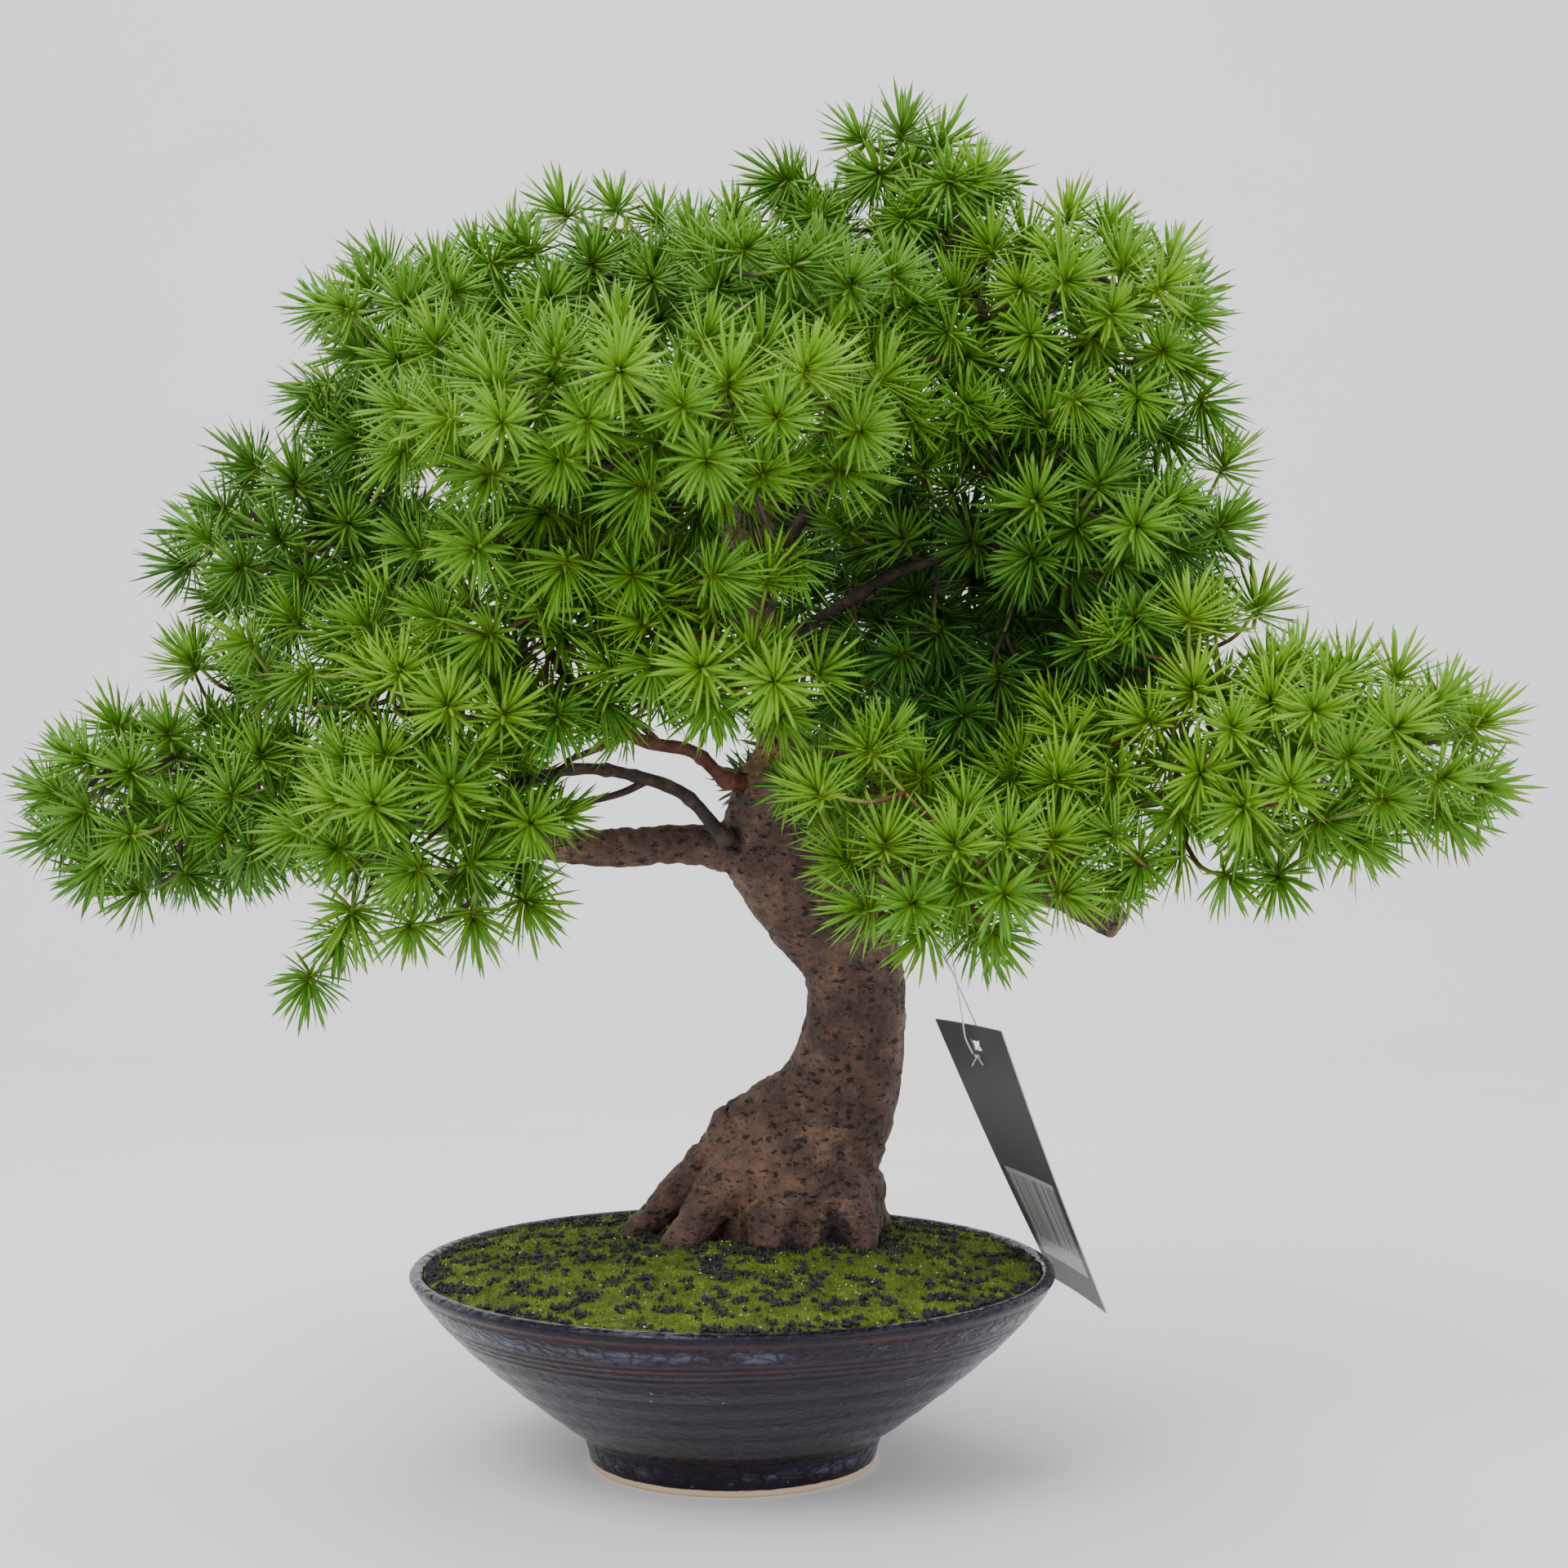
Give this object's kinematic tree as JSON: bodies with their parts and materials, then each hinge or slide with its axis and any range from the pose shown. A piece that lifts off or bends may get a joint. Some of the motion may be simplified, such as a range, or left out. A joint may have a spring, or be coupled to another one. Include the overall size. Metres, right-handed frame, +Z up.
{
  "type": "artificial tabletop tree",
  "caption": "Artificial tabletop tree: a moulded, bent trunk in a round glazed bowl of flocked moss, with plug-in wire-cored branches of soft green needle sprigs and a hanging card tag.",
  "frame": {"origin": "centre of the bowl's foot, on the surface it stands on", "axes": "+Z up, +X to the right seen from the front, +Y to the back"},
  "size_m": [0.5139, 0.346, 0.478],
  "materials": {
    "bowl_glaze": "satin charcoal glaze, crawled, rust brown in the grooves",
    "cement": "cast cement",
    "foam": "rigid open-cell foam",
    "soil_granules": "glued dark crumbs",
    "moss_flock": "flocked moss, yellow-green",
    "trunk_bark": "moulded and painted bark",
    "rod_steel": "plain steel",
    "stem_brown": "moulded dark brown plastic",
    "stem_red_brown": "moulded red-brown plastic",
    "wire_steel": "annealed steel wire",
    "needle_bright": "soft moulded needles, lime green",
    "needle_mid": "soft moulded needles, mid green",
    "needle_dark": "soft moulded needles, dark green",
    "tag_card": "coated dark card",
    "tag_nylon": "clear nylon"
  },
  "bodies": {
    "planted_bowl": {"bowl": "bowl_glaze", "cement_ballast": "cement", "foam_block": "foam", "soil_layer": "soil_granules", "moss_mat": "moss_flock", "trunk": "trunk_bark", "trunk_core_rod": "rod_steel", "anchor_plate": "rod_steel"},
    "left_tip": {"left_tip_stem": "stem_brown", "left_tip_wire": "wire_steel", "left_tip_spray": "needle_mid"},
    "left_low": {"left_low_stem": "stem_brown", "left_low_wire": "wire_steel", "left_low_spray": "needle_bright"},
    "left_front": {"left_front_stem": "stem_red_brown", "left_front_wire": "wire_steel", "left_front_spray": "needle_bright"},
    "left_mid": {"left_mid_stem": "stem_brown", "left_mid_wire": "wire_steel", "left_mid_spray": "needle_mid"},
    "crown_left": {"crown_left_stem": "stem_brown", "crown_left_wire": "wire_steel", "crown_left_spray": "needle_mid"},
    "crown_front": {"crown_front_stem": "stem_brown", "crown_front_wire": "wire_steel", "crown_front_spray": "needle_bright"},
    "crown_top": {"crown_top_stem": "stem_brown", "crown_top_wire": "wire_steel", "crown_top_spray": "needle_mid"},
    "crown_tip": {"crown_tip_stem": "stem_brown", "crown_tip_wire": "wire_steel", "crown_tip_spray": "needle_mid"},
    "crown_right": {"crown_right_stem": "stem_brown", "crown_right_wire": "wire_steel", "crown_right_spray": "needle_bright"},
    "right_mid": {"right_mid_stem": "stem_brown", "right_mid_wire": "wire_steel", "right_mid_spray": "needle_mid"},
    "right_low": {"right_low_stem": "stem_red_brown", "right_low_wire": "wire_steel", "right_low_spray": "needle_bright"},
    "right_front": {"right_front_stem": "stem_red_brown", "right_front_wire": "wire_steel", "right_front_spray": "needle_bright"},
    "front_low": {"front_low_stem": "stem_red_brown", "front_low_wire": "wire_steel", "front_low_spray": "needle_bright"},
    "back_low": {"back_low_stem": "stem_brown", "back_low_wire": "wire_steel", "back_low_spray": "needle_dark"},
    "back_mid": {"back_mid_stem": "stem_brown", "back_mid_wire": "wire_steel", "back_mid_spray": "needle_dark"},
    "right_high": {"right_high_stem": "stem_brown", "right_high_wire": "wire_steel", "right_high_spray": "needle_mid"},
    "tag": {"swing_tag": "tag_card", "tag_thread": "tag_nylon", "tag_knot": "tag_nylon"}
  },
  "joints": [
    {"name": "left_tip_bend", "type": "hinge", "parent": "planted_bowl", "child": "left_tip", "pos_m": [-0.07511, 0.01364, 0.22093], "axis": [0.0493, 0.9988, 0], "range_deg": [-4, 4]},
    {"name": "left_low_bend", "type": "hinge", "parent": "planted_bowl", "child": "left_low", "pos_m": [0.00521, 0.0138, 0.21864], "axis": [-0.5946, 0.804, 0], "range_deg": [-4, 4]},
    {"name": "left_front_bend", "type": "hinge", "parent": "planted_bowl", "child": "left_front", "pos_m": [0.00828, 0.00534, 0.2407], "axis": [-0.7704, 0.6375, 0], "range_deg": [-4, 4]},
    {"name": "left_mid_bend", "type": "hinge", "parent": "planted_bowl", "child": "left_mid", "pos_m": [-0.03983, -0.00903, 0.30312], "axis": [0.3654, 0.9308, 0], "range_deg": [-4, 4]},
    {"name": "crown_left_bend", "type": "hinge", "parent": "planted_bowl", "child": "crown_left", "pos_m": [-0.02366, -0.00499, 0.3145], "axis": [-0.1411, 0.99, 0], "range_deg": [-4, 4]},
    {"name": "crown_front_bend", "type": "hinge", "parent": "planted_bowl", "child": "crown_front", "pos_m": [0.00609, -0.00428, 0.33184], "axis": [-0.9491, 0.315, 0], "range_deg": [-4, 4]},
    {"name": "crown_top_bend", "type": "hinge", "parent": "planted_bowl", "child": "crown_top", "pos_m": [0.00947, -0.00431, 0.34137], "axis": [0.7807, 0.6249, 0], "range_deg": [-4, 4]},
    {"name": "crown_tip_bend", "type": "hinge", "parent": "planted_bowl", "child": "crown_tip", "pos_m": [0.01016, -0.00259, 0.33609], "axis": [0.054, -0.9985, 0], "range_deg": [-4, 4]},
    {"name": "crown_right_bend", "type": "hinge", "parent": "planted_bowl", "child": "crown_right", "pos_m": [0.00445, -0.00094, 0.31703], "axis": [-0.0458, -0.999, 0], "range_deg": [-4, 4]},
    {"name": "right_mid_bend", "type": "hinge", "parent": "planted_bowl", "child": "right_mid", "pos_m": [0.01328, 0.00846, 0.28461], "axis": [0.5277, -0.8495, 0], "range_deg": [-4, 4]},
    {"name": "right_low_bend", "type": "hinge", "parent": "planted_bowl", "child": "right_low", "pos_m": [0.11055, -0.00379, 0.20477], "axis": [-0.5734, -0.8193, 0], "range_deg": [-4, 4]},
    {"name": "right_front_bend", "type": "hinge", "parent": "planted_bowl", "child": "right_front", "pos_m": [0.04151, 0.01977, 0.19175], "axis": [-0.9661, -0.2583, 0], "range_deg": [-4, 4]},
    {"name": "front_low_bend", "type": "hinge", "parent": "planted_bowl", "child": "front_low", "pos_m": [0.01401, 0.00778, 0.27933], "axis": [-0.9975, 0.0709, 0], "range_deg": [-4, 4]},
    {"name": "back_low_bend", "type": "hinge", "parent": "planted_bowl", "child": "back_low", "pos_m": [0.01477, 0.01982, 0.24143], "axis": [0.9427, -0.3336, 0], "range_deg": [-4, 4]},
    {"name": "back_mid_bend", "type": "hinge", "parent": "planted_bowl", "child": "back_mid", "pos_m": [0.00863, 0.00605, 0.299], "axis": [0.9764, 0.2158, 0], "range_deg": [-4, 4]},
    {"name": "right_high_bend", "type": "hinge", "parent": "planted_bowl", "child": "right_high", "pos_m": [0.01132, 0.00649, 0.29178], "axis": [-0.3429, -0.9394, 0], "range_deg": [-4, 4]},
    {"name": "tag_swing", "type": "hinge", "parent": "planted_bowl", "child": "tag", "pos_m": [0.06839, 0.0077, 0.20877], "axis": [0.9527, -0.3035, 0.0192], "range_deg": [0, 35]}
  ]
}
